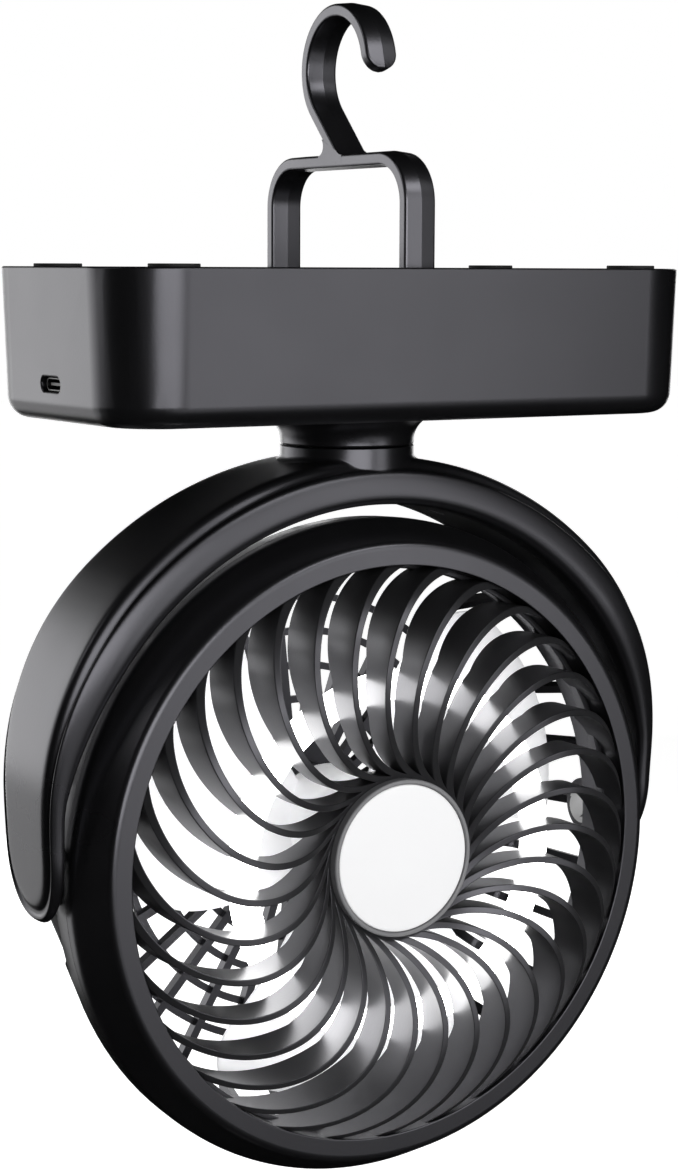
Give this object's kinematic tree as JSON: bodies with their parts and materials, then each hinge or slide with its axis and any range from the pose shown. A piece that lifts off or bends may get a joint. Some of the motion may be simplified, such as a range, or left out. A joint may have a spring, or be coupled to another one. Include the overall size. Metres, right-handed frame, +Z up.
{
  "type": "portable camping fan",
  "caption": "Hanging camping fan: a slab base with a fold-down hook, a swivelling yoke, a tilting round head with a swirl grille, a lamp ring and push buttons under the base.",
  "frame": {"origin": "centre of the hook's throat, where the fan hangs on a rail or cord", "axes": "+Z up, as the fan hangs; -Y is the side the air leaves; +X runs along the base's width and along the rail that the hook holds"},
  "size_m": [0.1964, 0.086, 0.3208],
  "materials": {
    "charcoal_plastic": "satin",
    "dark_plastic": "satin",
    "rubber": "matte",
    "steel": "satin",
    "brass": "satin",
    "white_plastic": "gloss",
    "grey_rim": "satin",
    "pale_blade": "satin",
    "cell_sleeve": "gloss",
    "circuit_board": "satin"
  },
  "bodies": {
    "base": {"base_shell": "charcoal_plastic", "base_cover": "dark_plastic", "feet": "rubber", "cover_screws": "steel", "hook_pins": "steel", "battery_cells": "cell_sleeve", "battery_tray": "dark_plastic", "main_board": "circuit_board", "switch_board": "circuit_board", "tact_switches": "steel", "usb_socket": "steel", "indicator_lens": "white_plastic"},
    "hook": {"hook": "dark_plastic"},
    "fan_button": {"fan_button": "dark_plastic"},
    "light_button": {"light_button": "dark_plastic"},
    "yoke": {"yoke_frame": "charcoal_plastic", "yoke_liner": "dark_plastic", "liner_screws": "steel", "swivel_post": "dark_plastic", "swivel_washer": "steel", "swivel_nut": "steel", "pivot_pins": "steel", "pivot_washers": "white_plastic", "pivot_clips": "steel"},
    "head": {"front_bezel": "dark_plastic", "front_grille": "charcoal_plastic", "hub_rim": "grey_rim", "hub_disc": "white_plastic", "light_board": "white_plastic", "light_beads": "white_plastic", "light_diffuser": "white_plastic", "rear_shell": "charcoal_plastic", "head_screws": "steel", "rear_cap": "dark_plastic", "motor_can": "steel", "motor_bushes": "brass", "motor_screws": "steel"},
    "rotor": {"impeller": "pale_blade", "motor_shaft": "steel", "impeller_clip": "steel"}
  },
  "joints": [
    {"name": "hook_fold", "type": "hinge", "parent": "base", "child": "hook", "pos_m": [0, 0, -0.059], "axis": [0, 1, 0], "range_deg": [0, 90]},
    {"name": "fan_button_press", "type": "slide", "parent": "base", "child": "fan_button", "axis": [0, 0, 1], "range_m": [0, 0.0006], "stiffness_N_per_m": 3300},
    {"name": "light_button_press", "type": "slide", "parent": "base", "child": "light_button", "axis": [0, 0, 1], "range_m": [0, 0.0006], "stiffness_N_per_m": 3300},
    {"name": "yoke_swivel", "type": "hinge", "parent": "base", "child": "yoke", "pos_m": [0, 0, -0.101], "axis": [0, 0, 1], "range_deg": [-180, 180]},
    {"name": "head_tilt", "type": "hinge", "parent": "yoke", "child": "head", "pos_m": [0, 0, -0.2118], "axis": [1, 0, 0], "range_deg": [-135, 135]},
    {"name": "fan_spin", "type": "hinge", "parent": "head", "child": "rotor", "pos_m": [0, 0, -0.2118], "axis": [0, -1, 0], "continuous": true}
  ]
}
